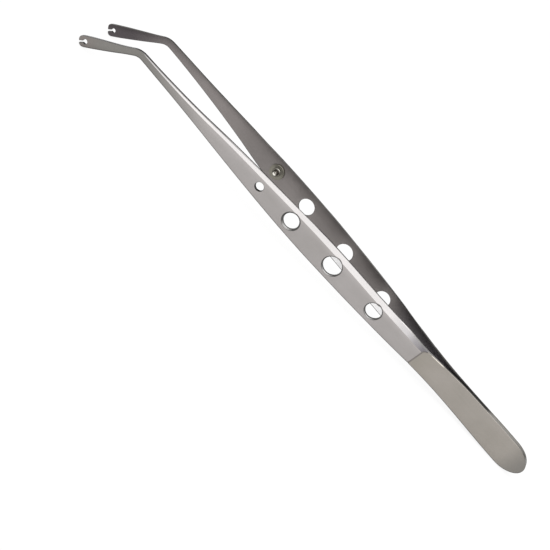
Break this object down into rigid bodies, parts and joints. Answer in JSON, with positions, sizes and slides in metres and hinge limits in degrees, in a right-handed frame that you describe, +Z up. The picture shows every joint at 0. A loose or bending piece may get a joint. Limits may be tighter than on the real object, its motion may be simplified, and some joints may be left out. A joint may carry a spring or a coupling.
{
  "type": "aquascaping tweezers",
  "caption": "Long spring tweezers for planting tanks: bowed steel arms with grip holes, a guide pin and turned-down keyhole tips, welded together at a rounded satin heel.",
  "frame": {"origin": "centre of the footprint at floor level, with the tweezers at rest on the heel's lower edge and the tips' lower corners", "axes": "+X runs from the tips to the heel; Y is the closing direction, with the front arm on -Y and the rear arm, which carries the guide pin, on +Y; +Z is up, across the width of the arms, with the convex edge on top and the tips turned down"},
  "size_m": [0.1814, 0.0188, 0.0138],
  "materials": {
    "arm_steel": "stainless strip: fine satin heel, lengthwise ground blade with a bright ground bevel on the upper outer edge",
    "pin_steel": "turned and polished stainless pin",
    "weld_steel": "fused steel, heat-tinted and unpolished, hidden between the heels"
  },
  "bodies": {
    "heel": {"front_arm_heel": "arm_steel", "rear_arm_heel": "arm_steel", "spot_weld_1": "weld_steel", "spot_weld_2": "weld_steel"},
    "front_arm": {"front_arm_blade": "arm_steel"},
    "rear_arm": {"rear_arm_blade": "arm_steel", "guide_pin": "pin_steel"}
  },
  "joints": [
    {"name": "front_arm_flex", "type": "hinge", "parent": "heel", "child": "front_arm", "pos_m": [0.05673, -0.00103, 0.00597], "axis": [-0.0498, 0, -0.9988], "range_deg": [0, 3.1], "stiffness_Nm_per_rad": 4.8},
    {"name": "rear_arm_flex", "type": "hinge", "parent": "heel", "child": "rear_arm", "pos_m": [0.05673, 0.00103, 0.00597], "axis": [0.0498, 0, 0.9988], "range_deg": [0, 3.1], "stiffness_Nm_per_rad": 4.8}
  ]
}
